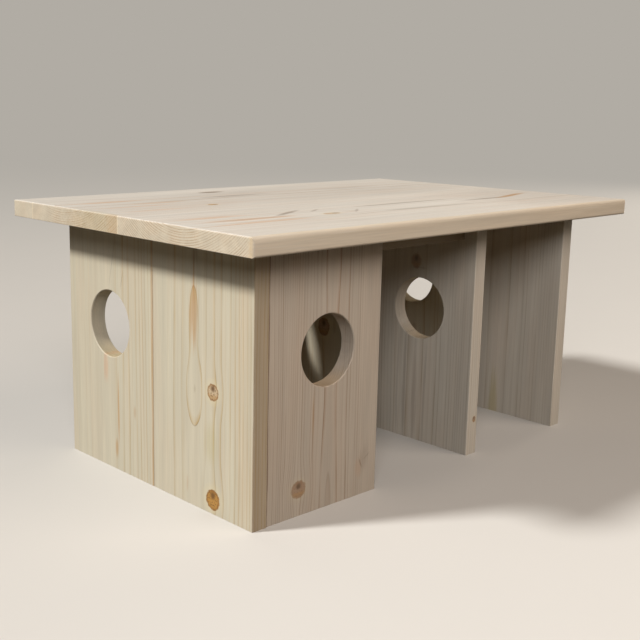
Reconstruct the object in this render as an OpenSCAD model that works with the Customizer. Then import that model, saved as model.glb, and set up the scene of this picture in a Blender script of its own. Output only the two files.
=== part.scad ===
/* [Walls] */
// Thickness of the wall, partition and panel boards
wall_thickness = 18; // [16:0.5:26]
// Height of the walls under the roof
wall_height = 267; // [230:1:330]
// Width of one wall board; each wall is two boards side by side
wall_board_width = 155; // [140:0.5:200]
// Inside length of the main bay, between left wall and partition
main_bay_length = 309; // [260:1:400]
// Inside length of the side bay, between partition and right wall
side_bay_length = 152.5; // [120:0.5:220]
// How far the partition stands behind the front ends of the walls
partition_setback = 2; // [0:0.5:8]
// Rounding of the long arrises of every wall board, panel and rail
arris_round = 1; // [0.5:0.1:2.5]

/* [Panels] */
// Width of the front panel and of the back panel of the main bay
panel_width = 152.5; // [130:0.5:200]
// How far a panel's outer face stands behind the wall ends
panel_setback = 1; // [0:0.5:8]

/* [Windows] */
// Diameter of the round windows
window_diameter = 72; // [50:1:88]
// Height of the window centres above the ground
window_height = 160; // [110:1:185]
// Distance of the front window's centre from its panel's middle, towards the doorway
front_window_shift = 2.5; // [-10:0.5:10]
// Width of the sanded chamfer round each window's rim
window_chamfer = 0.8; // [0.3:0.1:2]

/* [Roof] */
// Thickness of the roof panel
roof_thickness = 18; // [16:0.5:30]
// Overhang of the roof past the left and right walls
overhang_side = 42.25; // [10:0.25:80]
// Overhang of the roof past the front and back wall ends
overhang_front = 45; // [10:0.5:80]
// Width of the front board of the glued roof panel
roof_front_width = 198; // [120:1:230]
// Width of the rear strip of the glued roof panel
roof_rear_width = 41; // [25:1:90]
// Rounding of the long top edges of the roof
roof_top_round = 5; // [2:0.5:7]
// Rounding of the long lower edges of the roof
roof_under_round = 2.5; // [1:0.5:5]
// Rounding of the upper arrises at the sawn ends of the roof
roof_end_round = 1.5; // [0.5:0.5:4]
// Rounding of the lower arrises at the sawn ends of the roof
roof_end_under_round = 0.5; // [0.3:0.1:2]
// Rounding of the four upright corners of the roof
roof_corner_round = 3; // [1:0.5:10]

/* [Rails] */
// Height of the rails that carry the roof over the main bay
rail_height = 20; // [16:0.5:30]
// Depth of the rails from front to back
rail_depth = 20; // [16:0.5:30]

/* [Dowels] */
// Diameter of the beech dowels
dowel_diameter = 8; // [6:0.5:10]
// Length of the beech dowels
dowel_length = 30; // [26:1:40]
// Chamfer at both ends of a dowel
dowel_chamfer = 1; // [0.5:0.1:1.5]
// Depth to which a dowel enters the face of a board
dowel_face_depth = 12; // [8:0.5:14]
// Gap between a dowel and its bore, all round
dowel_gap = 0.1; // [0.05:0.05:0.3]
// Glue space past each end of a dowel
dowel_end_room = 0.6; // [0.2:0.1:1]
// Number of dowels along each upright joint
dowel_count = 3; // [2:1:5]
// Distance of the outer dowels of a joint from the board's ends
dowel_margin = 40; // [30:1:60]
// Height by which the side bay's dowels clear those of the back panel
dowel_stagger = 18; // [12:1:24]
// Spacing of the two dowels between a board and the roof
roof_dowel_spacing = 70; // [40:1:90]

/* [Screws] */
// Diameter of a screw's shank
screw_diameter = 4; // [3:0.5:5]
// Diameter of a screw's countersunk head
screw_head_diameter = 8; // [6:0.5:10]
// Depth to which a screw bites into the board behind its rail
screw_bite = 10; // [8:0.5:14]
// Length of a screw's tapered tip
screw_tip = 4; // [2:0.5:6]
// Width of the cross recess in a screw's head
screw_slot = 1; // [0.6:0.1:1.4]
// Span of the cross recess from tip to tip
screw_slot_span = 4.4; // [3:0.1:5]
// Depth of the cross recess
screw_slot_depth = 1.2; // [0.6:0.1:1.6]
// Gap between a screw and its hole, all round
screw_gap = 0.1; // [0.05:0.05:0.3]
// Spacing of the two screws between a rail and its panel
panel_screw_spacing = 90; // [60:1:110]
// Spacing of the three screws between a rail and the roof
roof_screw_spacing = 94.5; // [60:0.5:110]

/* [Hidden] */

$fn = 64;
// Overlap that carries a cut clear of the face it starts from
cut_over = 1;

roof_wood = "#dcc8ab";
wall_wood = "#d6c6a2";
panel_wood = "#c2ad8c";
rail_wood = "#cdb891";
dowel_wood = "#d2a679";
screw_steel = "#b9b4a6";

// Plan of the walls, centred on the origin
house_length = 3 * wall_thickness + main_bay_length + side_bay_length;
wall_depth = 2 * wall_board_width;
left_x = -house_length / 2;
main_bay_x = left_x + wall_thickness;
partition_x = main_bay_x + main_bay_length;
side_bay_x = partition_x + wall_thickness;
right_x = side_bay_x + side_bay_length;
front_y = -wall_depth / 2;
partition_y = front_y + partition_setback;
partition_joint_y = partition_y + wall_board_width;
front_panel_y = front_y + panel_setback;
back_panel_y = -front_y - panel_setback - wall_thickness;
back_panel_x = partition_x - panel_width;

// Centres of the wall boards and panels that the windows and roof dowels follow
front_board_mid = front_y / 2;
rear_board_mid = -front_y / 2;
partition_front_mid = partition_y + wall_board_width / 2;
partition_rear_mid = (partition_joint_y - front_y) / 2;
front_panel_mid = main_bay_x + panel_width / 2;
back_panel_mid = partition_x - panel_width / 2;
side_bay_mid = side_bay_x + side_bay_length / 2;
half_wall = wall_thickness / 2;

// Roof panel and its glue joints
roof_length = house_length + 2 * overhang_side;
roof_depth = wall_depth + 2 * overhang_front;
roof_joint_front = -roof_depth / 2 + roof_front_width;
roof_joint_rear = roof_depth / 2 - roof_rear_width;

// Rails lie behind the panels, under the roof
front_rail_y = front_panel_y + wall_thickness;
rear_rail_y = back_panel_y - rail_depth;
rail_z = wall_height - rail_height;
rail_mid_z = rail_z + rail_height / 2;
rail_mid_x = main_bay_x + main_bay_length / 2;

dowel_edge_depth = dowel_length - dowel_face_depth;
dowel_pitch = (wall_height - 2 * dowel_margin) / (dowel_count - 1);
dowel_heights = [for (i = [0:dowel_count - 1]) dowel_margin + i * dowel_pitch];
stagger_heights = [for (z = dowel_heights) z - dowel_stagger];

// Every dowel joint: start point of each dowel; dowels of one list share a direction
left_seam = [for (z = dowel_heights) [left_x + half_wall, -dowel_length / 2, z]];
partition_seam = [
  for (z = dowel_heights) [partition_x + half_wall, partition_joint_y - dowel_length / 2, z]
];
right_seam = [for (z = dowel_heights) [right_x + half_wall, -dowel_length / 2, z]];
front_panel_pegs = [
  for (z = dowel_heights) [main_bay_x - dowel_face_depth, front_panel_y + half_wall, z]
];
back_panel_pegs = [
  for (z = dowel_heights) [partition_x - dowel_edge_depth, back_panel_y + half_wall, z]
];
side_bay_left_pegs = [
  for (z = stagger_heights) [side_bay_x - dowel_face_depth, back_panel_y + half_wall, z]
];
side_bay_right_pegs = [
  for (z = stagger_heights) [right_x - dowel_edge_depth, back_panel_y + half_wall, z]
];
rail_mid_ys = [front_rail_y + rail_depth / 2, rear_rail_y + rail_depth / 2];
rail_left_pegs = [for (y = rail_mid_ys) [main_bay_x - dowel_face_depth, y, rail_mid_z]];
rail_right_pegs = [for (y = rail_mid_ys) [partition_x - dowel_edge_depth, y, rail_mid_z]];
roof_peg_z = wall_height - dowel_edge_depth;
roof_peg_spots = [-roof_dowel_spacing / 2, roof_dowel_spacing / 2];
roof_pegs = concat(
  [for (m = [front_board_mid, rear_board_mid], s = roof_peg_spots) [left_x + half_wall, m + s, roof_peg_z]],
  [
    for (m = [partition_front_mid, partition_rear_mid], s = roof_peg_spots)
      [partition_x + half_wall, m + s, roof_peg_z]
  ],
  [for (m = [front_board_mid, rear_board_mid], s = roof_peg_spots) [right_x + half_wall, m + s, roof_peg_z]],
  [for (s = roof_peg_spots) [side_bay_mid + s, back_panel_y + half_wall, roof_peg_z]]
);

// Screws start at their heads: panel screws in a rail's inner face, roof screws under it
panel_screw_spots = [-panel_screw_spacing / 2, panel_screw_spacing / 2];
front_panel_screws = [
  for (s = panel_screw_spots) [front_panel_mid + s, front_rail_y + rail_depth, rail_mid_z]
];
back_panel_screws = [for (s = panel_screw_spots) [back_panel_mid + s, rear_rail_y, rail_mid_z]];
roof_screw_spots = [-roof_screw_spacing, 0, roof_screw_spacing];
roof_screw_heads = [for (y = rail_mid_ys, s = roof_screw_spots) [rail_mid_x + s, y, rail_z]];
panel_screw_length = rail_depth + screw_bite;
roof_screw_length = rail_height + screw_bite;
screw_head_height = (screw_head_diameter - screw_diameter) / 2;

// Directions as rotations of a bar that stands on +Z
along_x = [0, 90, 0];
along_y = [-90, 0, 0];
toward_front = [90, 0, 0];
along_z = [0, 0, 0];

// A rectangle whose four corners are rounded
module eased_rectangle(width, depth, radius) {
  translate([radius, 0]) square([width - 2 * radius, depth]);
  translate([0, radius]) square([width, depth - 2 * radius]);
  for (x = [radius, width - radius], y = [radius, depth - radius])
    translate([x, y]) circle(radius);
}

// Section of the roof panel, routed along both edges: one round above, another below
module routed_section(width, top_round, under_round) {
  upper_z = roof_thickness - top_round;
  inset = max(top_round, under_round);
  translate([inset, 0]) square([width - 2 * inset, roof_thickness]);
  translate([0, under_round]) square([width, upper_z - under_round]);
  translate([under_round, 0]) square([width - 2 * under_round, under_round]);
  translate([top_round, upper_z]) square([width - 2 * top_round, top_round]);
  for (x = [top_round, width - top_round])
    translate([x, upper_z]) circle(top_round);
  for (x = [under_round, width - under_round])
    translate([x, under_round]) circle(under_round);
}

// The glued roof panel, routed along its edges, from one joint to the next
module roof_board(from_y, to_y) {
  difference() {
    translate([-roof_length / 2, -roof_depth / 2, wall_height])
      intersection() {
        rotate([90, 0, 90])
          linear_extrude(roof_length)
            routed_section(roof_depth, roof_top_round, roof_under_round);
        translate([0, roof_depth, 0])
          rotate([90, 0, 0])
            linear_extrude(roof_depth)
              routed_section(roof_length, roof_end_round, roof_end_under_round);
        linear_extrude(roof_thickness) eased_rectangle(roof_length, roof_depth, roof_corner_round);
        translate([-cut_over, from_y + roof_depth / 2, -cut_over])
          cube([roof_length + 2 * cut_over, to_y - from_y, roof_thickness + 2 * cut_over]);
      }
    bores(roof_pegs, along_z);
    screw_holes(roof_screw_heads, along_z, roof_screw_length);
  }
}

// A wall board that stands upright across the house, its long arrises rounded
module wall_board(x, y, width) {
  translate([x, y, 0]) linear_extrude(wall_height) eased_rectangle(wall_thickness, width, arris_round);
}

// A panel board that stands upright along the house
module panel_board(x, y, width) {
  translate([x, y, 0]) linear_extrude(wall_height) eased_rectangle(width, wall_thickness, arris_round);
}

// A rail along the main bay
module rail_bar(y) {
  translate([main_bay_x, y, rail_z])
    rotate([90, 0, 90]) linear_extrude(main_bay_length) eased_rectangle(rail_depth, rail_height, arris_round);
}

// Round window through a board, with a chamfer at both rims
module window(place, direction) {
  flare = window_chamfer + cut_over;
  translate(place) rotate(direction) {
    translate([0, 0, -cut_over]) cylinder(h = wall_thickness + 2 * cut_over, d = window_diameter);
    translate([0, 0, -cut_over])
      cylinder(h = flare, d1 = window_diameter + 2 * flare, d2 = window_diameter);
    translate([0, 0, wall_thickness - window_chamfer])
      cylinder(h = flare, d1 = window_diameter, d2 = window_diameter + 2 * flare);
  }
}

// A dowel that stands on its end, both ends chamfered
module dowel() {
  dowel_r = dowel_diameter / 2;
  rotate_extrude()
    polygon([
      [0, 0],
      [dowel_r - dowel_chamfer, 0],
      [dowel_r, dowel_chamfer],
      [dowel_r, dowel_length - dowel_chamfer],
      [dowel_r - dowel_chamfer, dowel_length],
      [0, dowel_length]
    ]);
}

// Dowels of a joint
module dowels(starts, direction) {
  color(dowel_wood)
    for (start = starts)
      translate(start) rotate(direction) dowel();
}

// Bores for the dowels of a joint, through both of its boards
module bores(starts, direction) {
  for (start = starts)
    translate(start)
      rotate(direction)
        translate([0, 0, -dowel_end_room])
          cylinder(h = dowel_length + 2 * dowel_end_room, d = dowel_diameter + 2 * dowel_gap);
}

// Outline of a countersunk screw, from its head down to its tip, grown by a gap
module screw_body(length, gap) {
  head_r = screw_head_diameter / 2 + gap;
  shank_r = screw_diameter / 2 + gap;
  rotate_extrude()
    polygon([
      [0, 0],
      [head_r, 0],
      [shank_r, screw_head_height],
      [shank_r, length - screw_tip + gap],
      [gap, length + gap],
      [0, length + gap]
    ]);
}

// Countersunk screws with a cross recess in their heads
module screws(heads, direction, length) {
  color(screw_steel)
    for (head = heads)
      translate(head) rotate(direction)
        difference() {
          screw_body(length, 0);
          for (turn = [0, 90])
            rotate([0, 0, turn])
              translate([-screw_slot_span / 2, -screw_slot / 2, -cut_over])
                cube([screw_slot_span, screw_slot, cut_over + screw_slot_depth]);
        }
}

// Countersunk holes for the screws, through both of their pieces
module screw_holes(heads, direction, length) {
  for (head = heads)
    translate(head) rotate(direction) {
      screw_body(length, screw_gap);
      translate([0, 0, -cut_over])
        cylinder(h = cut_over, d = screw_head_diameter + 2 * screw_gap);
    }
}

module roof_front_board() {
  color(roof_wood) roof_board(-roof_depth / 2 - cut_over, roof_joint_front);
}

module roof_middle_board() {
  color(roof_wood) roof_board(roof_joint_front, roof_joint_rear);
}

module roof_rear_board() {
  color(roof_wood) roof_board(roof_joint_rear, roof_depth / 2 + cut_over);
}

module left_wall_front_board() {
  color(wall_wood)
    difference() {
      wall_board(left_x, front_y, wall_board_width);
      bores(left_seam, along_y);
      bores(front_panel_pegs, along_x);
      bores(rail_left_pegs, along_x);
      bores(roof_pegs, along_z);
    }
}

module left_wall_rear_board() {
  color(wall_wood)
    difference() {
      wall_board(left_x, 0, wall_board_width);
      window([left_x, rear_board_mid, window_height], along_x);
      bores(left_seam, along_y);
      bores(rail_left_pegs, along_x);
      bores(roof_pegs, along_z);
    }
}

module partition_front_board() {
  color(panel_wood)
    difference() {
      wall_board(partition_x, partition_y, wall_board_width);
      window([partition_x, partition_front_mid, window_height], along_x);
      bores(partition_seam, along_y);
      bores(rail_right_pegs, along_x);
      bores(roof_pegs, along_z);
    }
}

module partition_rear_board() {
  color(panel_wood)
    difference() {
      wall_board(partition_x, partition_joint_y, -front_y - partition_joint_y);
      bores(partition_seam, along_y);
      bores(back_panel_pegs, along_x);
      bores(side_bay_left_pegs, along_x);
      bores(rail_right_pegs, along_x);
      bores(roof_pegs, along_z);
    }
}

module right_wall_front_board() {
  color(wall_wood)
    difference() {
      wall_board(right_x, front_y, wall_board_width);
      bores(right_seam, along_y);
      bores(roof_pegs, along_z);
    }
}

module right_wall_rear_board() {
  color(wall_wood)
    difference() {
      wall_board(right_x, 0, wall_board_width);
      window([right_x, rear_board_mid, window_height], along_x);
      bores(right_seam, along_y);
      bores(side_bay_right_pegs, along_x);
      bores(roof_pegs, along_z);
    }
}

module front_panel() {
  color(panel_wood)
    difference() {
      panel_board(main_bay_x, front_panel_y, panel_width);
      window([front_panel_mid + front_window_shift, front_panel_y, window_height], along_y);
      bores(front_panel_pegs, along_x);
      screw_holes(front_panel_screws, toward_front, panel_screw_length);
    }
}

module back_panel() {
  color(panel_wood)
    difference() {
      panel_board(back_panel_x, back_panel_y, panel_width);
      window([back_panel_mid, back_panel_y, window_height], along_y);
      bores(back_panel_pegs, along_x);
      screw_holes(back_panel_screws, along_y, panel_screw_length);
    }
}

module side_bay_panel() {
  color(panel_wood)
    difference() {
      panel_board(side_bay_x, back_panel_y, side_bay_length);
      bores(side_bay_left_pegs, along_x);
      bores(side_bay_right_pegs, along_x);
      bores(roof_pegs, along_z);
    }
}

module front_rail() {
  color(rail_wood)
    difference() {
      rail_bar(front_rail_y);
      bores(rail_left_pegs, along_x);
      bores(rail_right_pegs, along_x);
      screw_holes(front_panel_screws, toward_front, panel_screw_length);
      screw_holes(roof_screw_heads, along_z, roof_screw_length);
    }
}

module rear_rail() {
  color(rail_wood)
    difference() {
      rail_bar(rear_rail_y);
      bores(rail_left_pegs, along_x);
      bores(rail_right_pegs, along_x);
      screw_holes(back_panel_screws, along_y, panel_screw_length);
      screw_holes(roof_screw_heads, along_z, roof_screw_length);
    }
}

module left_wall_dowels() { dowels(left_seam, along_y); }
module partition_dowels() { dowels(partition_seam, along_y); }
module right_wall_dowels() { dowels(right_seam, along_y); }
module front_panel_dowels() { dowels(front_panel_pegs, along_x); }
module back_panel_dowels() { dowels(back_panel_pegs, along_x); }
module side_bay_dowels() { dowels(concat(side_bay_left_pegs, side_bay_right_pegs), along_x); }
module rail_dowels() { dowels(concat(rail_left_pegs, rail_right_pegs), along_x); }
module roof_dowels() { dowels(roof_pegs, along_z); }

module panel_screws() {
  screws(front_panel_screws, toward_front, panel_screw_length);
  screws(back_panel_screws, along_y, panel_screw_length);
}

module roof_screws() { screws(roof_screw_heads, along_z, roof_screw_length); }

roof_front_board();
roof_middle_board();
roof_rear_board();
left_wall_front_board();
left_wall_rear_board();
partition_front_board();
partition_rear_board();
right_wall_front_board();
right_wall_rear_board();
front_panel();
back_panel();
side_bay_panel();
front_rail();
rear_rail();
left_wall_dowels();
partition_dowels();
right_wall_dowels();
front_panel_dowels();
back_panel_dowels();
side_bay_dowels();
rail_dowels();
roof_dowels();
panel_screws();
roof_screws();
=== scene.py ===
import math
from typing import NamedTuple

import bmesh
import bpy
from bpy.props import FloatProperty, FloatVectorProperty, PointerProperty
from bpy.types import Node, NodeSocket, Operator, Panel, PropertyGroup
from mathutils import Matrix, Vector


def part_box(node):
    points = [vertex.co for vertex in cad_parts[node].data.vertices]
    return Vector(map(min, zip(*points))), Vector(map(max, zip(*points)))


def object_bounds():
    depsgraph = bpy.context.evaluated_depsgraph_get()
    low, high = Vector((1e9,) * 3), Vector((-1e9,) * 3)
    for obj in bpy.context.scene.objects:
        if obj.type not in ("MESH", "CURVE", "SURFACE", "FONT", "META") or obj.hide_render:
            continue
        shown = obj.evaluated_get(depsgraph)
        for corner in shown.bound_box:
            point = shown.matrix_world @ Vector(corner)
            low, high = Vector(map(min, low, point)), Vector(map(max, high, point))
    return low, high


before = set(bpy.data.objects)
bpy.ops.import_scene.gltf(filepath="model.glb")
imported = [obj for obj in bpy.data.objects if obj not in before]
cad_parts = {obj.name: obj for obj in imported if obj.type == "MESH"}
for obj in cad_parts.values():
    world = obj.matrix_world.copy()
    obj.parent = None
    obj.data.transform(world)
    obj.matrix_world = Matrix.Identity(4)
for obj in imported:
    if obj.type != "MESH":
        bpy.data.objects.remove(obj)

bl_info = {
    "name": "Guinea Pig House",
    "version": (1, 0, 0),
    "blender": (4, 5, 0),
    "location": "View3D > Sidebar > House",
    "description": "Finishes a dowelled spruce house for guinea pigs and sets it on a pale studio floor",
    "category": "Material",
}

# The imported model's own box, before anything is dressed
CAD_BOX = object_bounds()

MM = 0.001
# Sockets of a colour Mix node
FACTOR, UNDER, OVER = 0, 6, 7


def linear(hex_colour, alpha=1.0):
    """Linear RGBA of an sRGB hex colour."""
    channels = [int(hex_colour[i:i + 2], 16) / 255 for i in (1, 3, 5)]
    return (*(c / 12.92 if c <= 0.04045 else ((c + 0.055) / 1.055) ** 2.4 for c in channels), alpha)


def colour_property(name, description, hex_colour):
    """A colour that the user can change."""
    return FloatVectorProperty(
        name=name, description=description, subtype="COLOR", size=4, min=0, max=1, default=linear(hex_colour)
    )


def length_property(name, description, millimetres):
    """A length that the user can change."""
    return FloatProperty(
        name=name, description=description, unit="LENGTH", min=0.1 * MM, precision=4, default=millimetres * MM
    )


def share_property(name, description, share):
    """A share from nothing to all that the user can change."""
    return FloatProperty(name=name, description=description, subtype="FACTOR", min=0, max=1, default=share)


def strength_property(name, description, strength):
    """A light's strength that the user can change."""
    return FloatProperty(name=name, description=description, min=0, default=strength)


def power_property(name, description, watts):
    """A lamp's power that the user can change."""
    return FloatProperty(name=name, description=description, subtype="POWER", min=0, default=watts)


class HOUSE_PG_spruce(PropertyGroup):
    """Colours and grain sizes of the spruce boards."""

    roof_early: colour_property("Roof springwood", "Pale wood of the roof", "#dfdad2")
    roof_late: colour_property("Roof summerwood", "Tan wood in the rings of the roof", "#c2a88c")
    wall_early: colour_property("Wall springwood", "Pale wood of the walls", "#d4cbb5")
    wall_late: colour_property("Wall summerwood", "Tan wood in the rings of the walls", "#c2a775")
    panel_early: colour_property("Panel springwood", "Pale wood of the panels", "#c9bcac")
    panel_late: colour_property("Panel summerwood", "Tan wood in the rings of the panels", "#a6866d")
    inner_early: colour_property("Inner springwood", "Pale wood of the boards beside the side bay", "#d8cfc1")
    inner_late: colour_property("Inner summerwood", "Tan wood in the rings of those boards", "#ae9b80")
    aged_early: colour_property("Aged springwood", "Pale wood of a board that begins to grey", "#d6d0bf")
    aged_late: colour_property("Aged summerwood", "Tan wood in its rings", "#b6a27e")
    # The rails' wood is darkened far below the other boards' as painted shade, for the deep shade under the
    # roof
    rail_early: colour_property("Rail springwood", "Pale wood of the rails", "#a39175")
    rail_late: colour_property("Rail summerwood", "Tan wood in the rings of the rails", "#977649")
    line: colour_property("Year line", "Dark line where a year's growth ends", "#765c41")
    pink: colour_property("Pink stain", "Rosy tint that drifts through fresh spruce", "#d9b596")
    # Besides resinous streaks, this tan warms painted shade on the left wall's front edge and seam
    resin: colour_property("Resin", "Tan of a resinous streak", "#bd8a4c")
    olive: colour_property("Olive patch", "Greenish tint in a patch of wood", "#b5a45f")
    # Besides real marks, this brown paints shade on the roof and on the left wall's front edge and seam
    brown: colour_property("Brown streak", "Dark hairline, bark streak, glue line or shade", "#6e5138")
    knot_pale: colour_property("Pale knot", "Body of a pale knot", "#cdb594")
    knot_gold: colour_property("Golden knot", "Body of a resinous knot", "#ba8b49")
    knot_dull: colour_property("Dull knot", "Body of a dull brown knot", "#a98a70")
    knot_rim: colour_property("Knot rim", "Bark ring round a knot", "#8f6330")
    knot_heart: colour_property("Knot heart", "Dark heart and specks of a knot", "#5f3f1f")
    # Besides the knots, this pale paints light along the roof's front edge
    halo: colour_property("Knot halo", "Pale wood that flows round a knot", "#e2d3ae")
    end_grain: colour_property("End grain", "Tint of the cut ends, which drink in more light", "#f8efde")
    drift: share_property("Rosy drift", "How much of the rosy tint shows", 0.14)
    roof_ring: length_property("Roof rings", "Width of a year ring in the roof", 2.3)
    wall_ring: length_property("Wall rings", "Width of a year ring in the walls", 3.1)
    panel_ring: length_property("Panel rings", "Width of a year ring in the panels", 2.4)
    inner_ring: length_property("Inner rings", "Width of a year ring in the boards beside the side bay", 2.4)
    aged_ring: length_property("Aged rings", "Width of a year ring in the board that begins to grey", 2.7)
    rail_ring: length_property("Rail rings", "Width of a year ring in the rails", 2.6)
    fibre: length_property("Fibre width", "Width of a fibre streak, drawn coarse enough to show", 1.3)
    roughness: share_property("Roughness", "Roughness of planed and sanded spruce", 0.6)


class HOUSE_PG_fixings(PropertyGroup):
    """Colours of the dowels and screws."""

    beech: colour_property("Beech", "Turned beech of the dowels", "#c99a6b")
    beech_fleck: colour_property("Beech flecks", "Short dark flecks in the beech", "#8f6039")
    zinc: colour_property("Zinc", "Bright zinc plating of the screws", "#c3beb2")
    zinc_dull: colour_property("Dull zinc", "Duller patches of the plating", "#9a958a")


class HOUSE_PG_stage(PropertyGroup):
    """Floor, lights and camera."""

    floor: colour_property("Floor", "Pale matt studio floor", "#d7d4d0")
    backdrop: colour_property("Backdrop", "Pale wall that the camera sees past the floor", "#b1aca4")
    ambient: colour_property("Ambient light", "Light of the studio's shaded walls", "#f6d9ae")
    ambient_strength: strength_property("Ambient strength", "Strength of the shaded walls' light", 0.05)
    key: colour_property("Key light", "Light from behind on the left", "#fffdf8")
    key_strength: strength_property("Key strength", "Strength of the light from behind", 3.14)
    key_angle: FloatProperty(
        name="Key spread", description="How soft the key light's shadows are", subtype="ANGLE", default=0.14
    )
    warm: colour_property("Warm light", "Light of the front softbox", "#ffeedd")
    warm_power: power_property("Warm power", "Power of the front softbox", 37)
    neutral: colour_property("Neutral light", "Light of the softbox behind the camera", "#e7e6e6")
    neutral_power: power_property("Neutral power", "Power of the softbox behind the camera", 32)
    fill: colour_property("Fill light", "Light of the small softbox on the right", "#fff1e0")
    fill_power: power_property("Fill power", "Power of the small softbox on the right", 50)
    lens: FloatProperty(name="Lens", description="Focal length of the camera", unit="CAMERA", default=57.275)


class Flame(NamedTuple):
    """Where the rings rise (positive) or dip under the planed face, in millimetres on the board."""

    across: float
    along: float
    half_width: float
    half_length: float
    lift: float


class Knot(NamedTuple):
    """A branch that runs through the board, in millimetres.

    The kind names its colour, bark and heart say how dark these are, and strength how much of it shows.
    """

    across: float
    along: float
    width: float
    height: float
    kind: str
    bark: float
    heart: float
    strength: float = 1.0


class Streak(NamedTuple):
    """A streak on the board, in millimetres, leaning by degrees from the grain: mostly a stain, in a few
    places painted light and painted shade.
    """

    across: float
    along: float
    half_width: float
    half_length: float
    colour: str
    strength: float
    lean: float = 0.0


class Plain(NamedTuple):
    """A stretch of the board where the rings fade, in millimetres on the board."""

    across: float
    along: float
    half_width: float
    half_length: float
    strength: float


class Board(NamedTuple):
    """A spruce board, measured in millimetres across, through and along the grain.

    The axes name those three ways in turn, from the low side, or from the high side for a small letter.
    The pith is where the rings have their middle, and the first ring says where in its year the wood
    over it is. The metre is the board's stretch of the plank, and the figure how strongly its rings show.
    An edge knot runs from edge to edge, so its first number is how far through the board it lies.
    """

    node: str
    finish: str
    axes: str
    pith: tuple
    first_ring: float
    metre: int
    figure: float
    flames: tuple = ()
    knots: tuple = ()
    streaks: tuple = ()
    plains: tuple = ()
    edge_knots: tuple = ()


ROOF_BOARDS = (
    Board(
        "roof_front_board", "roof", "YzX", pith=(100, -91), first_ring=-0.7, metre=1, figure=0.85,
        flames=(Flame(103, 175, 80, 80, -1.8),),
        knots=(Knot(93, 187, 10, 22, "pale", bark=0.4, heart=1.0, strength=0.75),),
        streaks=(
            Streak(101, 84, 10, 80, "pink", 0.65),
            Streak(101, 84, 6, 80, "brown", 0.2),
            Streak(78, 86, 8, 82, "pink", 0.6),
            Streak(131, 62, 8, 58, "pink", 0.6),
            Streak(120, 150, 4.5, 46, "brown", 0.5, lean=-27),
            Streak(123, 192, 2.6, 20, "brown", 0.35, lean=-32),
            Streak(99, 230, 2.6, 20, "brown", 0.35, lean=-40),
            Streak(125, 335, 5.5, 100, "brown", 0.4),
            Streak(79, 325, 5, 110, "brown", 0.32),
            Streak(104, 460, 6, 62, "brown", 0.48),
            Streak(113, 525, 7, 55, "resin", 0.8, lean=-15),
            # Painted shade: a broad faint brown darkens the right part of the roof, where less light falls
            Streak(90, 620, 150, 260, "brown", 0.16),
            # Painted light: a pale strip makes the roof's front edge and the front of its top lighter, as if
            # lit more strongly; a rosy tint lies along it
            Streak(0, 300, 8, 900, "halo", 0.4),
            Streak(0, 300, 8, 900, "pink", 0.22),
            Streak(198, 0, 2, 8, "end_grain", 0.7),
        ),
        plains=(Plain(100, 570, 24, 90, 0.9), Plain(0, 300, 12, 900, 0.85)),
    ),
    Board(
        "roof_middle_board", "roof", "YzX", pith=(101, -120), first_ring=0.4, metre=2, figure=0.8,
        knots=(Knot(32, 145, 8, 13, "gold", bark=0.5, heart=1.0, strength=0.8),),
        streaks=(
            Streak(152, 238, 8, 24, "brown", 0.75),
            Streak(101, 235, 9, 70, "brown", 0.34),
            Streak(114, 64, 9, 60, "pink", 0.55),
            Streak(80, 105, 8, 50, "pink", 0.5),
            Streak(60, 66, 7, 62, "pink", 0.4),
            Streak(20, 64, 8, 60, "pink", 0.4),
            Streak(106, 430, 10, 70, "brown", 0.12),
            # Painted shade: a broad faint brown darkens the whole middle board, leaving the front of the roof
            # lighter
            Streak(80, 330, 140, 420, "brown", 0.1),
            Streak(20, 0, 80, 8, "olive", 0.2),
            Streak(0, 0, 26, 7, "resin", 0.22),
            Streak(161, 0, 2, 8, "end_grain", 0.7),
        ),
        plains=(Plain(150, 300, 45, 900, 0.85),),
    ),
    Board(
        "roof_rear_board", "roof", "YzX", pith=(93, -60), first_ring=0.5, metre=3, figure=0.25,
        plains=(Plain(20, 300, 60, 900, 0.85),),
    ),
)

LEFT_WALL_BOARDS = (
    Board(
        "left_wall_front_board", "wall", "YXZ", pith=(87.5, 100), first_ring=1.2, metre=4, figure=1.0,
        flames=(Flame(86, 120, 24, 50, -3.2), Flame(88, 180, 12, 60, -2.2)),
        knots=(
            Knot(58.5, 122.5, 16.5, 17, "pale", bark=0.8, heart=0.85),
            Knot(58, 14.5, 20, 21, "gold", bark=0.8, heart=0.8),
        ),
        streaks=(
            Streak(61, 70, 12, 30, "olive", 0.22),
            Streak(98, 20, 2, 14, "resin", 0.25),
            Streak(113, 158, 1.1, 80, "brown", 0.12),
            Streak(18, 133, 0.9, 180, "brown", 0.12),
            # The seam to the rear board: a dark glue line, and painted shade of the groove between the boards
            Streak(155, 133, 2.6, 900, "brown", 0.3),
            Streak(12, 100, 16, 200, "resin", 0.1),
            Streak(88, 194, 9, 42, "resin", 0.55),
            Streak(87.5, 228, 1.6, 36, "resin", 0.5),
            Streak(86, 262, 6, 30, "brown", 0.3),
            # Painted shade: the wall's front edge is darkened and warmed, as where less light falls on it
            Streak(0, 133, 1.2, 900, "resin", 0.22),
            Streak(0, 133, 1.2, 900, "brown", 0.3),
        ),
        plains=(Plain(140, 133, 26, 600, 0.85), Plain(87.5, 40, 22, 36, 0.8)),
    ),
    Board(
        "left_wall_rear_board", "wall", "YXZ", pith=(85, 100), first_ring=1.2, metre=5, figure=1.0,
        streaks=(
            Streak(86, 112, 6, 24, "pink", 0.6),
            Streak(63, 70, 1.9, 62, "resin", 0.6),
            Streak(67, 24, 4.2, 15, "resin", 0.5),
            Streak(33, 72, 3, 10, "resin", 0.3),
            Streak(72, 226, 0.7, 28, "brown", 0.3, lean=13),
            Streak(54, 211, 0.7, 16, "brown", 0.3, lean=15),
            # The seam to the front board: a tan glue line, and painted shade of the groove between the boards
            Streak(0, 133, 3, 900, "resin", 0.5),
        ),
        plains=(Plain(120, 133, 64, 900, 0.75),),
    ),
)

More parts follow.
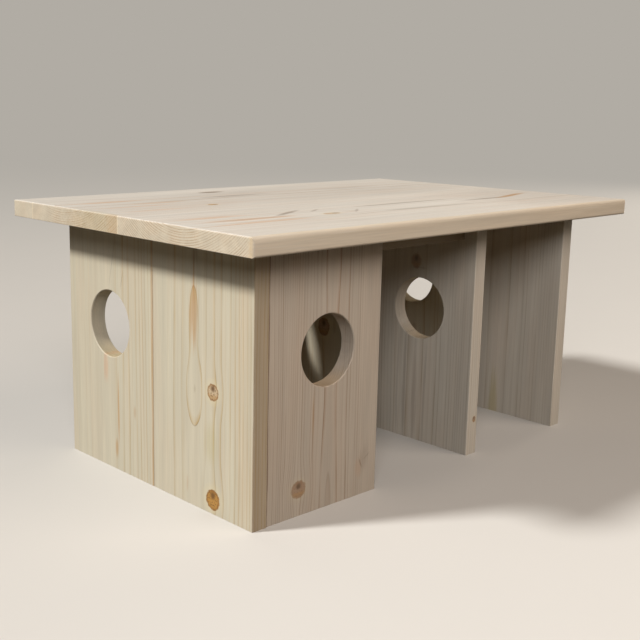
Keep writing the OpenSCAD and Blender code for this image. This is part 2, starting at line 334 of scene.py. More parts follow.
PARTITION_BOARDS = (
    Board(
        "partition_front_board", "inner", "YXZ", pith=(80, 75), first_ring=0.5, metre=6, figure=0.75,
        knots=(Knot(84, 215, 15, 17, "dull", bark=0.0, heart=1.0, strength=0.6),),
        streaks=(
            Streak(80, 55, 4.5, 90, "brown", 0.26),
            Streak(95, 60, 3.2, 95, "brown", 0.32),
            Streak(65, 60, 2.6, 95, "brown", 0.24),
            Streak(106, 65, 2.2, 80, "brown", 0.2),
            Streak(82, 208, 14, 2.4, "brown", 0.25),
            Streak(84, 215, 9, 12, "brown", 0.4),
        ),
        plains=(Plain(80, 235, 140, 110, 0.65),),
        edge_knots=(Knot(12, 41, 5.5, 7.5, "dull", bark=0.35, heart=1.0, strength=0.9),),
    ),
    Board(
        "partition_rear_board", "wall", "YXZ", pith=(60, 80), first_ring=0.4, metre=7, figure=0.7,
        flames=(Flame(62, 120, 50, 90, -1.0),),
        knots=(Knot(77, 111, 20, 24, "dull", bark=0.6, heart=1.0, strength=0.9),),
    ),
)

RIGHT_WALL_BOARDS = (
    Board(
        "right_wall_front_board", "inner", "YXZ", pith=(86, 90), first_ring=0.3, metre=8, figure=0.55,
        streaks=(Streak(88, 6, 9, 62, "olive", 0.45),),
    ),
    Board(
        "right_wall_rear_board", "aged", "YXZ", pith=(70, -85), first_ring=0.3, metre=9, figure=0.7,
        flames=(Flame(72, 60, 50, 90, -0.9),),
        knots=(Knot(118, 76, 15, 17, "pale", bark=0.6, heart=0.4),),
    ),
)

PANEL_BOARDS = (
    Board(
        "front_panel", "panel", "XYZ", pith=(83.75, 40), first_ring=0.45, metre=10, figure=1.0,
        flames=(Flame(84, 0, 62, 120, -1.0), Flame(84, 250, 60, 60, -0.5)),
        knots=(Knot(41.75, 27, 19, 18, "dull", bark=0.25, heart=1.0, strength=0.85),),
        streaks=(
            Streak(59.5, 98, 1.4, 30, "resin", 0.35),
            Streak(0, 133, 2, 900, "brown", 0.85),
            Streak(132, 36, 10, 22, "brown", 0.16, lean=-20),
            Streak(126, 30, 7, 15, "pink", 0.3),
            Streak(129, 34, 1.5, 9, "brown", 0.35, lean=24),
            Streak(139, 40, 1.3, 8, "brown", 0.2, lean=-55),
        ),
        plains=(Plain(147, 133, 30, 600, 0.75),),
    ),
    Board(
        "back_panel", "panel", "XYZ", pith=(66, -60), first_ring=0.2, metre=11, figure=0.75,
        flames=(Flame(66, 90, 50, 120, -1.2),),
        knots=(Knot(120, 228, 14, 15, "pale", bark=0.5, heart=0.4),),
    ),
    Board(
        "side_bay_panel", "panel", "XYZ", pith=(90, -75), first_ring=0.7, metre=12, figure=0.7,
        flames=(Flame(88, 180, 50, 90, -1.3),),
        knots=(
            Knot(36, 88, 13, 14, "pale", bark=0.6, heart=0.3),
            Knot(104, 214, 9, 10, "pale", bark=0.3, heart=0.6),
        ),
    ),
)

RAIL_BOARDS = (
    Board("front_rail", "rail", "ZYX", pith=(-40, 30), first_ring=0.1, metre=13, figure=0.6),
    Board("rear_rail", "rail", "ZYX", pith=(55, -20), first_ring=0.6, metre=14, figure=0.6),
)

DOWEL_NODES = (
    "left_wall_dowels", "partition_dowels", "right_wall_dowels", "front_panel_dowels",
    "back_panel_dowels", "side_bay_dowels", "rail_dowels", "roof_dowels",
)
SCREW_NODES = ("panel_screws", "roof_screws")


# How far the grain sways, in millimetres
GRAIN_SWAY = 4.0
# Runs of good and lean years to a ring's width, how far they shift a ring, in rings, and the least of a year
YEAR_RUNS = 0.4
YEAR_SHIFT = 0.5
FAINTEST_YEAR = 0.25
# How far the grain flows round a knot, in knot widths and heights, and how hard it is pushed aside
KNOT_FLOW_ACROSS = 1.5
KNOT_FLOW_ALONG = 2.4
KNOT_PUSH = 0.6
# How far a knot's rim wanders, in its radii, and the widths of the spots and specks in it, in millimetres
KNOT_RAG = 0.2
KNOT_SPOT = 10 / 3
KNOT_SPECK = 2.0
# How far a knot's heart lies over its middle and reaches out, in knot sizes
HEART_RISE = 0.2
HEART_REACH = 0.26
# How far a streak frays, and how much of a patch holds its full strength
STREAK_FRAY = 0.75
STREAK_HOLD = 0.3
PLAIN_HOLD = 0.4
HEART_HOLD = 0.2
# A fibre's length in its widths, how much the gloss varies with it, and how far the rings stand out beside it
FIBRE_STRETCH = 40
GLOSS_SPREAD = 0.08
RING_RELIEF = 0.4
# Width of a cloud in the screws' plating, in millimetres
ZINC_CLOUD = 1.25


def blend(colour, other, share):
    """A colour that is part one, part another."""
    return tuple(a + (b - a) * share for a, b in zip(colour, other))


def add_node(tree, kind, inputs=None, stops=None, **settings):
    """Adds a node with its settings.

    Each input is a value, a socket, or a node whose first output it takes.
    """
    node = tree.nodes.new(kind)
    for name, value in settings.items():
        setattr(node, name, value)
    for socket, value in (inputs or {}).items():
        if isinstance(value, Node):
            value = next(output for output in value.outputs if output.enabled)
        if isinstance(value, NodeSocket):
            tree.links.new(value, node.inputs[socket])
        else:
            node.inputs[socket].default_value = value
    for index, (position, colour) in enumerate(stops or ()):
        elements = node.color_ramp.elements
        stop = elements[index] if index < 2 else elements.new(position)
        stop.position = position
        stop.color = colour
    return node


def new_material(name):
    """An empty material and its tree."""
    material = bpy.data.materials.new(name)
    material.use_nodes = True
    material.node_tree.nodes.clear()
    return material, material.node_tree


def dress(node, material):
    """Gives a CAD node its material."""
    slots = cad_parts[node].data.materials
    slots.clear()
    slots.append(material)


def in_millimetres(tree, corner=(0, 0, 0)):
    """The place on a piece in millimetres, from a corner in metres."""
    return add_node(
        tree, "ShaderNodeMapping",
        {"Vector": add_node(tree, "ShaderNodeTexCoord").outputs["Object"],
         "Location": [-value / MM for value in corner], "Scale": (1 / MM, 1 / MM, 1 / MM)},
    )


def board_way(tree, parts, axis, size):
    """The way across, through or along a board, from its low side, or its high side for a small letter."""
    way = parts.outputs[axis.upper()]
    if axis.islower():
        way = add_node(tree, "ShaderNodeMath", {0: size["xyz".index(axis)], 1: way}, operation="SUBTRACT")
    return way


def stretched_noise(tree, plank, width, length, detail=2.0):
    """Noise drawn out along the grain, with spots of a width and a length in millimetres."""
    spot = add_node(
        tree, "ShaderNodeVectorMath", {0: plank, 1: (1 / width, 1 / width, 1 / length)}, operation="MULTIPLY"
    )
    return add_node(tree, "ShaderNodeTexNoise", {"Vector": spot, "Scale": 1.0, "Detail": detail})


def oval(tree, face, middle, reach, lean=0.0):
    """Distance from the middle of an oval on the board's face, 1 at its rim."""
    inside = add_node(
        tree, "ShaderNodeMapping",
        {"Vector": face, "Location": (*middle, 0), "Rotation": (0, 0, math.radians(lean)),
         "Scale": (*reach, 1)},
        vector_type="TEXTURE",
    )
    return add_node(tree, "ShaderNodeVectorMath", {0: inside}, operation="LENGTH")


def patch(tree, face, middle, reach, strength, hold=0.0, lean=0.0, ragged=None):
    """A strength that holds in the middle of an oval and fades softly to nothing at its rim."""
    near = oval(tree, face, middle, reach, lean)
    if ragged is not None:
        near = add_node(tree, "ShaderNodeMath", {0: near, 1: ragged}, operation="ADD")
    return add_node(
        tree, "ShaderNodeMapRange", {"Value": near, "From Min": hold, "To Min": strength, "To Max": 0.0},
        interpolation_type="SMOOTHSTEP",
    )


def year_rings(tree, board, plank, face, through, ring, end):
    """How far a point is through its year, and how strongly that year shows.

    The rings run round the pith, sway along the board and flow round its knots.
    """
    sway = add_node(
        tree, "ShaderNodeMapRange",
        {"Value": stretched_noise(tree, plank, width=70, length=300, detail=1.0),
         "To Min": -GRAIN_SWAY, "To Max": GRAIN_SWAY},
    )
    face_parts = add_node(tree, "ShaderNodeSeparateXYZ", {0: face})
    across = add_node(tree, "ShaderNodeMath", {0: face_parts.outputs["X"], 1: sway}, operation="ADD")
    for knot in board.knots:
        # Lines of the grain are pushed aside and flow round a knot
        flow = (KNOT_FLOW_ACROSS * knot.width, KNOT_FLOW_ALONG * knot.height)
        push = patch(tree, face, (knot.across, knot.along), flow, KNOT_PUSH * knot.strength)
        off = add_node(tree, "ShaderNodeMath", {0: across, 1: knot.across}, operation="SUBTRACT")
        shift = add_node(tree, "ShaderNodeMath", {0: off, 1: push}, operation="MULTIPLY")
        across = add_node(tree, "ShaderNodeMath", {0: across, 1: shift}, operation="SUBTRACT")
    arm = add_node(
        tree, "ShaderNodeVectorMath",
        {0: add_node(tree, "ShaderNodeCombineXYZ", {0: across, 1: through}), 1: (*board.pith, 0)},
        operation="SUBTRACT",
    )
    radius = add_node(tree, "ShaderNodeVectorMath", {0: arm}, operation="LENGTH")
    depth = add_node(tree, "ShaderNodeMath", {0: radius, 1: abs(board.pith[1])}, operation="SUBTRACT")
    for flame in board.flames:
        spread = (flame.half_width, flame.half_length)
        lift = patch(tree, face, (flame.across, flame.along), spread, flame.lift)
        depth = add_node(tree, "ShaderNodeMath", {0: depth, 1: lift}, operation="ADD")
    # Good and lean years crowd the rings together and spread them out
    years = add_node(
        tree, "ShaderNodeTexNoise", {"W": depth, "Scale": YEAR_RUNS / ring, "Detail": 1.0},
        noise_dimensions="1D",
    )
    lean = add_node(
        tree, "ShaderNodeMapRange",
        {"Value": years, "To Min": board.first_ring - YEAR_SHIFT, "To Max": board.first_ring + YEAR_SHIFT},
    )
    age = add_node(tree, "ShaderNodeMath", {0: depth, 1: 1 / ring, 2: lean}, operation="MULTIPLY_ADD")
    # Some years show more than others, and the first one counted always in full
    year = add_node(tree, "ShaderNodeMath", {0: age}, operation="FLOOR")
    chance = add_node(
        tree, "ShaderNodeMapRange",
        {"Value": add_node(tree, "ShaderNodeTexWhiteNoise", {"W": year}, noise_dimensions="1D"),
         "To Min": FAINTEST_YEAR, "To Max": 1.0},
    )
    innermost = add_node(tree, "ShaderNodeMath", {0: year, 1: 0.0, 2: 0.5}, operation="COMPARE")
    strength = add_node(tree, "ShaderNodeMath", {0: chance, 1: innermost}, operation="MAXIMUM")
    fade = add_node(
        tree, "ShaderNodeMapRange",
        {"Value": stretched_noise(tree, plank, width=7, length=80), "From Min": 0.32, "From Max": 0.6,
         "To Min": 0.3, "To Max": 1.0},
    )
    strength = add_node(tree, "ShaderNodeMath", {0: strength, 1: fade}, operation="MULTIPLY")
    # More years show on a cut end, here and there
    clear = add_node(
        tree, "ShaderNodeMapRange",
        {"Value": stretched_noise(tree, plank, width=22, length=300, detail=1.0),
         "From Min": 0.4, "From Max": 0.58},
    )
    cut = add_node(tree, "ShaderNodeMath", {0: clear, 1: end}, operation="MULTIPLY")
    strength = add_node(tree, "ShaderNodeMath", {0: strength, 1: cut}, operation="MAXIMUM")
    for plain in board.plains:
        spread = (plain.half_width, plain.half_length)
        lost = patch(tree, face, (plain.across, plain.along), spread, plain.strength, hold=PLAIN_HOLD)
        kept = add_node(tree, "ShaderNodeMath", {0: 1.0, 1: lost}, operation="SUBTRACT")
        strength = add_node(tree, "ShaderNodeMath", {0: strength, 1: kept}, operation="MULTIPLY")
    return add_node(tree, "ShaderNodeMath", {0: age}, operation="FRACT"), strength


def knot_wood(tree, knot, plank, face, colour, settings):
    """Lays a knot over the wood.

    It is a branch in a thin ring of bark, with a dark heart, specks and a pale halo.
    """
    spots = add_node(tree, "ShaderNodeTexNoise", {"Vector": plank, "Scale": 1 / KNOT_SPOT, "Detail": 3.0})
    ragged = add_node(
        tree, "ShaderNodeMapRange", {"Value": spots, "To Min": -KNOT_RAG, "To Max": KNOT_RAG}
    )
    near = oval(tree, face, (knot.across, knot.along), (knot.width / 2, knot.height / 2))
    wavy = add_node(tree, "ShaderNodeMath", {0: near, 1: ragged}, operation="ADD")
    # The branch darkens to brown at its top and to gold at its foot
    body = getattr(settings, f"knot_{knot.kind}")
    along = add_node(tree, "ShaderNodeSeparateXYZ", {0: face}).outputs["Y"]
    height = add_node(
        tree, "ShaderNodeMapRange",
        {"Value": along, "From Min": knot.along - knot.height / 2, "From Max": knot.along + knot.height / 2},
    )
    branch = add_node(
        tree, "ShaderNodeValToRGB",
        {"Fac": add_node(tree, "ShaderNodeMath", {0: height, 1: ragged}, operation="ADD")},
        stops=[
            (0.0, blend(body, settings.knot_rim, 0.5 * knot.bark)),
            (0.25, blend(body, settings.knot_gold, 0.5)),
            (0.45, body),
            (0.65, body),
            (1.0, blend(body, settings.knot_rim, 0.3 + 0.6 * knot.bark)),
        ],
    )
    # The heart lies above the middle, and specks are scattered round it
    heart = patch(
        tree, face, (knot.across, knot.along + HEART_RISE * knot.height),
        (HEART_REACH * knot.width, HEART_REACH * knot.height), knot.heart, hold=HEART_HOLD, ragged=ragged,
    )
    grit = add_node(tree, "ShaderNodeTexNoise", {"Vector": plank, "Scale": 1 / KNOT_SPECK, "Detail": 1.0})
    specks = add_node(
        tree, "ShaderNodeMapRange",
        {"Value": grit, "From Min": 0.55, "From Max": 0.63, "To Max": 0.8 * knot.bark},
    )
    dark = add_node(tree, "ShaderNodeMath", {0: heart, 1: specks}, operation="MAXIMUM")
    flecked = add_node(
        tree, "ShaderNodeMix", {FACTOR: dark, UNDER: branch, OVER: settings.knot_heart}, data_type="RGBA"
    )
    # A ramp from the middle to two radii out lays the bark and the halo over the branch
    bark = add_node(
        tree, "ShaderNodeValToRGB",
        {"Fac": add_node(tree, "ShaderNodeMath", {0: wavy, 1: 0.5}, operation="MULTIPLY")},
        stops=[
            (0.0, (*settings.knot_rim[:3], 0.0)),
            (0.36, (*settings.knot_rim[:3], 0.0)),
            (0.47, (*settings.knot_rim[:3], 0.9 * knot.bark)),
            (0.5, (*settings.knot_rim[:3], 0.9 * knot.bark)),
            (0.54, (*settings.halo[:3], 0.8)),
        ],
    )
    ringed = add_node(
        tree, "ShaderNodeMix", {FACTOR: bark.outputs["Alpha"], UNDER: flecked, OVER: bark}, data_type="RGBA"
    )
    # The less bark a knot has, the softer its edge
    soft = 0.04 + 0.2 * (1 - knot.bark)
    cover = add_node(
        tree, "ShaderNodeMapRange",
        {"Value": wavy, "From Min": 1 - soft, "From Max": 1 + soft, "To Min": knot.strength, "To Max": 0.0},
        interpolation_type="SMOOTHSTEP",
    )
    glow = add_node(
        tree, "ShaderNodeMapRange",
        {"Value": wavy, "From Min": 1.0, "From Max": 1.8, "To Min": 0.55 * knot.bark, "To Max": 0.0},
    )
    haloed = add_node(
        tree, "ShaderNodeMix", {FACTOR: glow, UNDER: colour, OVER: settings.halo}, data_type="RGBA"
    )
    return add_node(tree, "ShaderNodeMix", {FACTOR: cover, UNDER: haloed, OVER: ringed}, data_type="RGBA")


def spruce(board, settings):
    """Spruce, planed, sanded and left bare.

    Cream wood with tan rings, a faint rosy drift, brown knots and little gloss.
    """
    material, tree = new_material(f"spruce_{board.node}")
    low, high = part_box(board.node)
    parts = add_node(tree, "ShaderNodeSeparateXYZ", {0: in_millimetres(tree, low)})
    size = [(b - a) / MM for a, b in zip(low, high)]
    across, through, along = (board_way(tree, parts, axis, size) for axis in board.axes)
    face = add_node(tree, "ShaderNodeCombineXYZ", {0: across, 1: along})
    edge = add_node(tree, "ShaderNodeCombineXYZ", {0: through, 1: along})
    # Every board takes its noise from another metre of one long plank
    plank = add_node(
        tree, "ShaderNodeVectorMath",
        {0: add_node(tree, "ShaderNodeCombineXYZ", {0: across, 1: through, 2: along}),
         1: (0, 0, board.metre / MM)},
        operation="ADD",
    )
    early, late = (getattr(settings, f"{board.finish}_{part}") for part in ("early", "late"))
    ring = getattr(settings, f"{board.finish}_ring") / MM
    # Cut ends are the faces that look along the grain
    normal = add_node(
        tree, "ShaderNodeSeparateXYZ", {0: add_node(tree, "ShaderNodeTexCoord").outputs["Normal"]}
    )
    end = add_node(
        tree, "ShaderNodeMapRange",
        {"Value": add_node(tree, "ShaderNodeMath", {0: normal.outputs[board.axes[2]]}, operation="ABSOLUTE"),
         "From Min": 0.6},
    )
    # A year begins as pale springwood, turns to tan summerwood and ends in a dark line
    season, strength = year_rings(tree, board, plank, face, through, ring, end)
    growth = add_node(
        tree, "ShaderNodeValToRGB", {"Fac": season},
        stops=[
            (0.0, early),
            (0.58, early),
            (0.84, blend(early, late, 0.55)),
            (0.94, late),
            (0.975, blend(late, settings.line, 0.75)),
            (1.0, early),
        ],
    )
    figure = add_node(tree, "ShaderNodeMapRange", {"Value": end, "To Min": board.figure})
    shown = add_node(tree, "ShaderNodeMath", {0: strength, 1: figure}, operation="MULTIPLY")
    colour = add_node(tree, "ShaderNodeMix", {FACTOR: shown, UNDER: early, OVER: growth}, data_type="RGBA")

    # A rosy tint drifts through the wood in long soft patches
    drift = add_node(
        tree, "ShaderNodeMapRange",
        {"Value": stretched_noise(tree, plank, width=26, length=170), "From Min": 0.42, "From Max": 0.75,
         "To Min": 0.0, "To Max": settings.drift},
    )
    colour = add_node(
        tree, "ShaderNodeMix", {FACTOR: drift, UNDER: colour, OVER: settings.pink}, data_type="RGBA"
    )

    # Streaks fray along the grain: most are stains, a few are painted light and painted shade
    fray = add_node(
        tree, "ShaderNodeMapRange",
        {"Value": stretched_noise(tree, plank, width=2.2, length=60, detail=4.0),
         "To Min": -STREAK_FRAY, "To Max": STREAK_FRAY},
    )
    for streak in board.streaks:
        stain_and_painted_light = patch(
            tree, face, (streak.across, streak.along), (streak.half_width, streak.half_length),
            streak.strength, hold=STREAK_HOLD, lean=streak.lean, ragged=fray,
        )
        colour = add_node(
            tree, "ShaderNodeMix", {FACTOR: stain_and_painted_light, UNDER: colour, OVER: getattr(settings, streak.colour)},
            data_type="RGBA",
        )

    # Broad bands and fine fibres lie along the grain, lighter and darker
    bands = add_node(
        tree, "ShaderNodeMapRange",
        {"Value": stretched_noise(tree, plank, width=11, length=260, detail=3.0),
         "From Min": 0.3, "From Max": 0.7, "To Min": 0.92, "To Max": 1.05},
    )
    fibre_width = settings.fibre / MM
    fibre = stretched_noise(tree, plank, width=fibre_width, length=FIBRE_STRETCH * fibre_width)
    sheen = add_node(
        tree, "ShaderNodeMapRange",
        {"Value": fibre, "From Min": 0.25, "From Max": 0.75, "To Min": 0.93, "To Max": 1.04},
    )
    for shade in (bands, sheen):
        colour = add_node(
            tree, "ShaderNodeMix", {FACTOR: 1.0, UNDER: colour, OVER: shade},
            data_type="RGBA", blend_type="MULTIPLY",
        )
    for knot in board.knots:
        colour = knot_wood(tree, knot, plank, face, colour, settings)
    for knot in board.edge_knots:
        colour = knot_wood(tree, knot, plank, edge, colour, settings)
    colour = add_node(
        tree, "ShaderNodeMix", {FACTOR: end, UNDER: colour, OVER: settings.end_grain},
        data_type="RGBA", blend_type="MULTIPLY",
    )

    gloss = add_node(
        tree, "ShaderNodeMapRange",
        {"Value": fibre, "To Min": settings.roughness + GLOSS_SPREAD,
         "To Max": settings.roughness - GLOSS_SPREAD},
    )
    relief = add_node(tree, "ShaderNodeMath", {0: season, 1: RING_RELIEF, 2: fibre}, operation="MULTIPLY_ADD")
    bump = add_node(tree, "ShaderNodeBump", {"Height": relief, "Strength": 0.3, "Distance": 0.1 * MM})
    wood = add_node(
        tree, "ShaderNodeBsdfPrincipled",
        {"Base Color": colour, "Roughness": gloss, "Normal": bump, "IOR": 1.45},
    )
    add_node(tree, "ShaderNodeOutputMaterial", {"Surface": wood})
    return material


def beech(settings):
    """Beech, turned: plain warm wood with short dark flecks and a faint gloss."""
    material, tree = new_material("beech_turned")
    flecks = add_node(
        tree, "ShaderNodeMapRange",
        {"Value": stretched_noise(tree, in_millimetres(tree), width=0.8, length=3.0),
         "From Min": 0.52, "From Max": 0.7, "To Max": 0.6},
    )
    colour = add_node(
        tree, "ShaderNodeMix", {FACTOR: flecks, UNDER: settings.beech, OVER: settings.beech_fleck},
        data_type="RGBA",
    )
    bump = add_node(tree, "ShaderNodeBump", {"Height": flecks, "Strength": 0.2, "Distance": 0.1 * MM})
    wood = add_node(
        tree, "ShaderNodeBsdfPrincipled", {"Base Color": colour, "Roughness": 0.5, "Normal": bump}
    )
    add_node(tree, "ShaderNodeOutputMaterial", {"Surface": wood})
    return material


def zinc(settings):
    """Steel, zinc plated: a bright grey metal, a little dull and clouded where the bath left it uneven."""
    material, tree = new_material("steel_zinc_plated")
    clouds = add_node(
        tree, "ShaderNodeTexNoise", {"Vector": in_millimetres(tree), "Scale": 1 / ZINC_CLOUD, "Detail": 3.0}
    )
    colour = add_node(
        tree, "ShaderNodeMix", {FACTOR: clouds, UNDER: settings.zinc, OVER: settings.zinc_dull},
        data_type="RGBA",
    )
    gloss = add_node(tree, "ShaderNodeMapRange", {"Value": clouds, "To Min": 0.25, "To Max": 0.5})
    metal = add_node(
        tree, "ShaderNodeBsdfPrincipled", {"Base Color": colour, "Roughness": gloss, "Metallic": 1.0}
    )
    add_node(tree, "ShaderNodeOutputMaterial", {"Surface": metal})
    return material


def dress_boards(boards, settings):
    """Gives each board its own spruce."""
    for board in boards:
        dress(board.node, spruce(board, settings))


class HOUSE_OT_dress_roof(Operator):
    """Finish the three glued boards of the roof"""

    bl_idname = "house.dress_roof"
    bl_label = "Roof boards"

    def execute(self, context):
        dress_boards(ROOF_BOARDS, context.scene.house_spruce)
        return {"FINISHED"}


class HOUSE_OT_dress_left_wall(Operator):
    """Finish the two boards of the left wall"""

    bl_idname = "house.dress_left_wall"
    bl_label = "Left wall"

    def execute(self, context):
        dress_boards(LEFT_WALL_BOARDS, context.scene.house_spruce)
        return {"FINISHED"}


class HOUSE_OT_dress_partition(Operator):
    """Finish the two boards of the partition"""

    bl_idname = "house.dress_partition"
    bl_label = "Partition"

    def execute(self, context):
        dress_boards(PARTITION_BOARDS, context.scene.house_spruce)
        return {"FINISHED"}


class HOUSE_OT_dress_right_wall(Operator):
    """Finish the two boards of the right wall"""

    bl_idname = "house.dress_right_wall"
    bl_label = "Right wall"

    def execute(self, context):
        dress_boards(RIGHT_WALL_BOARDS, context.scene.house_spruce)
        return {"FINISHED"}


class HOUSE_OT_dress_panels(Operator):
    """Finish the front panel, the back panel and the side bay's panel"""

    bl_idname = "house.dress_panels"
    bl_label = "Panels"

    def execute(self, context):
        dress_boards(PANEL_BOARDS, context.scene.house_spruce)
        return {"FINISHED"}


class HOUSE_OT_dress_rails(Operator):
    """Finish the front and rear rails under the roof"""

    bl_idname = "house.dress_rails"
    bl_label = "Rails"

    def execute(self, context):
        dress_boards(RAIL_BOARDS, context.scene.house_spruce)
        return {"FINISHED"}


class HOUSE_OT_dress_dowels(Operator):
    """Finish the dowels in the joints"""

    bl_idname = "house.dress_dowels"
    bl_label = "Dowels"

    def execute(self, context):
        material = beech(context.scene.house_fixings)
        for node in DOWEL_NODES:
            dress(node, material)
        return {"FINISHED"}


class HOUSE_OT_dress_screws(Operator):
    """Finish the screws in the rails"""

    bl_idname = "house.dress_screws"
    bl_label = "Screws"

    def execute(self, context):
        material = zinc(context.scene.house_fixings)
        for node in SCREW_NODES:
            dress(node, material)
        return {"FINISHED"}


# Where the camera stood, in metres, and how it was turned, in degrees
CAMERA_PLACE = (-0.84735, -0.8201, 0.3928)
CAMERA_HEADING = 42.491
CAMERA_PITCH = 11.221
CAMERA_ROLL = 0.808
CAMERA_SHIFT = (0.0766, -0.0233)
# The round floor: its radius, the sides that draw it, how far it lies under the house, and a mottle's width
FLOOR_RADIUS = 30.0
FLOOR_SIDES = 96
FLOOR_DROP = 0.1 * MM
FLOOR_MOTTLE = 111.11 * MM
# Distance from the house, in metres, over which the floor turns into the backdrop
SWEEP_START = 1.2
SWEEP_END = 6.0
# The way the key light travels: from behind on the left, down to the front
KEY_TRAVEL = (1.0, -0.55, -0.945)
# Places and sizes of the softboxes, in metres, and the spot that they face
WARM_PLACE = (0.8, -2.2, 2.0)
WARM_SIZE = 2.6
NEUTRAL_PLACE = (-1.634, -1.669, 1.38)
NEUTRAL_SIZE = 1.0
FILL_PLACE = (4.5, 0.4, 0.65)
FILL_SIZE = 1.0
SOFTBOX_AIM = (0.0, 0.0, 0.15)


def floor_vinyl(settings):
    """Vinyl backdrop, matt: pale and even, with the faintest mottling."""
    material, tree = new_material("vinyl_matt_floor")
    place = add_node(tree, "ShaderNodeTexCoord").outputs["Object"]
    mottle = add_node(tree, "ShaderNodeTexNoise", {"Vector": place, "Scale": 1 / FLOOR_MOTTLE})
    tone = add_node(tree, "ShaderNodeMapRange", {"Value": mottle, "To Min": 0.985, "To Max": 1.0})
    colour = add_node(
        tree, "ShaderNodeMix", {FACTOR: 1.0, UNDER: settings.floor, OVER: tone},
        data_type="RGBA", blend_type="MULTIPLY",
    )
    vinyl = add_node(
        tree, "ShaderNodeBsdfPrincipled", {"Base Color": colour, "Roughness": 0.9, "Specular IOR Level": 0.1}
    )
    # Away from the house it takes the backdrop's even tone, as if it curved up into a wall
    away = add_node(tree, "ShaderNodeVectorMath", {0: place}, operation="LENGTH")
    sweep = add_node(
        tree, "ShaderNodeMapRange", {"Value": away, "From Min": SWEEP_START, "From Max": SWEEP_END},
        interpolation_type="SMOOTHSTEP",
    )
    wall = add_node(tree, "ShaderNodeEmission", {"Color": settings.backdrop})
    swept = add_node(tree, "ShaderNodeMixShader", {0: sweep, 1: vinyl, 2: wall})
    add_node(tree, "ShaderNodeOutputMaterial", {"Surface": swept})
    return material


def studio_floor(settings):
    """The floor, just under the house."""
    shape = bmesh.new()
    bmesh.ops.create_circle(shape, cap_ends=True, segments=FLOOR_SIDES, radius=FLOOR_RADIUS)
    bmesh.ops.translate(shape, verts=shape.verts, vec=(0, 0, CAD_BOX[0].z - FLOOR_DROP))
    mesh = bpy.data.meshes.new("studio_floor")
    shape.to_mesh(mesh)
    shape.free()
    mesh.materials.append(floor_vinyl(settings))
    floor = bpy.data.objects.new("studio_floor", mesh)
    # It shows pale but throws no light back, as if black flags stood round the house
    floor.visible_diffuse = False
    return floor


def key_light(settings):
    """The key light, as far off as the sun."""
    light = bpy.data.lights.new("key_light", "SUN")
    light.energy = settings.key_strength
    light.color = settings.key[:3]
    light.angle = settings.key_angle
    lamp = bpy.data.objects.new("key_light", light)
    lamp.rotation_euler = Vector(KEY_TRAVEL).to_track_quat("-Z", "Y").to_euler()
    return lamp


def softbox(name, place, size, power, colour):
    """A round softbox that faces the house."""
    light = bpy.data.lights.new(name, "AREA")
    light.shape = "DISK"
    light.size = size
    light.energy = power
    light.color = colour[:3]
    lamp = bpy.data.objects.new(name, light)
    lamp.location = place
    lamp.rotation_euler = (Vector(SOFTBOX_AIM) - Vector(place)).to_track_quat("-Z", "Y").to_euler()
    return lamp


def studio_surround(settings):
    """The studio's shaded walls, which light the house dimly, and the backdrop that the camera sees."""
    world = bpy.data.worlds.new("studio_surround")
    world.use_nodes = True
    tree = world.node_tree
    tree.nodes.clear()
    ambient = add_node(
        tree, "ShaderNodeBackground", {"Color": settings.ambient, "Strength": settings.ambient_strength}
    )
    backdrop = add_node(tree, "ShaderNodeBackground", {"Color": settings.backdrop})
    seen = add_node(tree, "ShaderNodeLightPath").outputs["Is Camera Ray"]
    surround = add_node(tree, "ShaderNodeMixShader", {0: seen, 1: ambient, 2: backdrop})
    add_node(tree, "ShaderNodeOutputWorld", {"Surface": surround})
    return world


def camera_turn():
    """The camera's axes from its heading, pitch and roll."""
    heading, pitch, roll = (math.radians(a) for a in (CAMERA_HEADING, CAMERA_PITCH, CAMERA_ROLL))
    forward = Vector((math.sin(heading), math.cos(heading), 0))
    ahead = math.cos(pitch) * forward - math.sin(pitch) * Vector((0, 0, 1))
    level = Vector((math.cos(heading), -math.sin(heading), 0))
    rise = level.cross(ahead)
    right = math.cos(roll) * level + math.sin(roll) * rise
    up = math.cos(roll) * rise - math.sin(roll) * level
    return Matrix((right, up, -ahead)).transposed()


def studio_camera(settings):
    """The camera, where the photograph was taken from."""
    lens = bpy.data.cameras.new("camera")
    lens.lens = settings.lens
    lens.shift_x, lens.shift_y = CAMERA_SHIFT
    camera = bpy.data.objects.new("camera", lens)
    camera.matrix_world = Matrix.Translation(CAMERA_PLACE) @ camera_turn().to_4x4()
    return camera


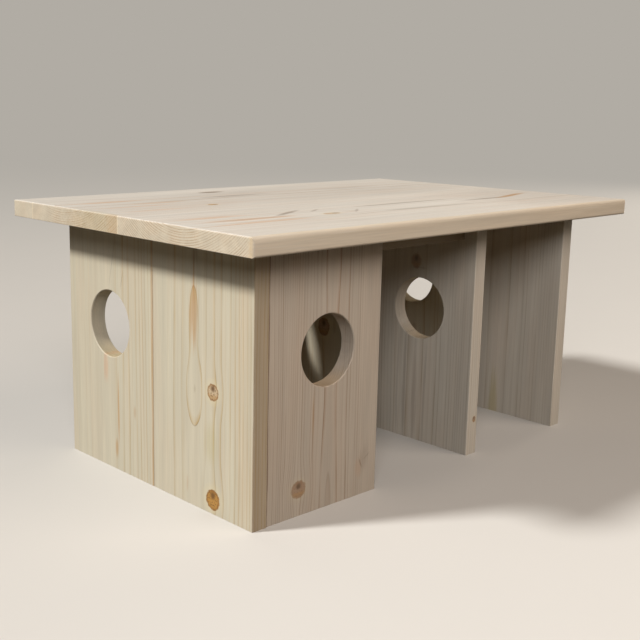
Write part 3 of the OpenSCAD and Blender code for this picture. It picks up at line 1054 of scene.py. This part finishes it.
class HOUSE_OT_build_stage(Operator):
    """Lay the floor, set the lights and place the camera"""

    bl_idname = "house.build_stage"
    bl_label = "Stage"

    def execute(self, context):
        scene = context.scene
        settings = scene.house_stage
        floor = studio_floor(settings)
        camera = studio_camera(settings)
        lamps = (
            key_light(settings),
            softbox("warm_softbox", WARM_PLACE, WARM_SIZE, settings.warm_power, settings.warm),
            softbox("neutral_softbox", NEUTRAL_PLACE, NEUTRAL_SIZE, settings.neutral_power, settings.neutral),
            softbox("fill_softbox", FILL_PLACE, FILL_SIZE, settings.fill_power, settings.fill),
        )
        for thing in (floor, *lamps, camera):
            scene.collection.objects.link(thing)
        scene.world = studio_surround(settings)
        scene.camera = camera
        scene.view_settings.view_transform = "Standard"
        return {"FINISHED"}


OPERATORS = (
    HOUSE_OT_dress_roof,
    HOUSE_OT_dress_left_wall,
    HOUSE_OT_dress_partition,
    HOUSE_OT_dress_right_wall,
    HOUSE_OT_dress_panels,
    HOUSE_OT_dress_rails,
    HOUSE_OT_dress_dowels,
    HOUSE_OT_dress_screws,
    HOUSE_OT_build_stage,
)


class HOUSE_PT_pieces(Panel):
    """Lists the pieces of the house and their settings"""

    bl_idname = "HOUSE_PT_pieces"
    bl_label = "Guinea Pig House"
    bl_space_type = "VIEW_3D"
    bl_region_type = "UI"
    bl_category = "House"

    def draw(self, context):
        for operator in OPERATORS:
            self.layout.operator(operator.bl_idname)
        for group in (context.scene.house_spruce, context.scene.house_fixings, context.scene.house_stage):
            for name in group.__annotations__:
                self.layout.prop(group, name)


CLASSES = (HOUSE_PG_spruce, HOUSE_PG_fixings, HOUSE_PG_stage, *OPERATORS, HOUSE_PT_pieces)


def register():
    for cls in CLASSES:
        bpy.utils.register_class(cls)
    bpy.types.Scene.house_spruce = PointerProperty(type=HOUSE_PG_spruce)
    bpy.types.Scene.house_fixings = PointerProperty(type=HOUSE_PG_fixings)
    bpy.types.Scene.house_stage = PointerProperty(type=HOUSE_PG_stage)


def unregister():
    del bpy.types.Scene.house_stage
    del bpy.types.Scene.house_fixings
    del bpy.types.Scene.house_spruce
    for cls in reversed(CLASSES):
        bpy.utils.unregister_class(cls)


def main():
    """Dresses the house piece by piece and sets the stage."""
    register()
    bpy.ops.house.dress_roof()
    bpy.ops.house.dress_left_wall()
    bpy.ops.house.dress_partition()
    bpy.ops.house.dress_right_wall()
    bpy.ops.house.dress_panels()
    bpy.ops.house.dress_rails()
    bpy.ops.house.dress_dowels()
    bpy.ops.house.dress_screws()
    bpy.ops.house.build_stage()


if __name__ == "__main__":
    main()
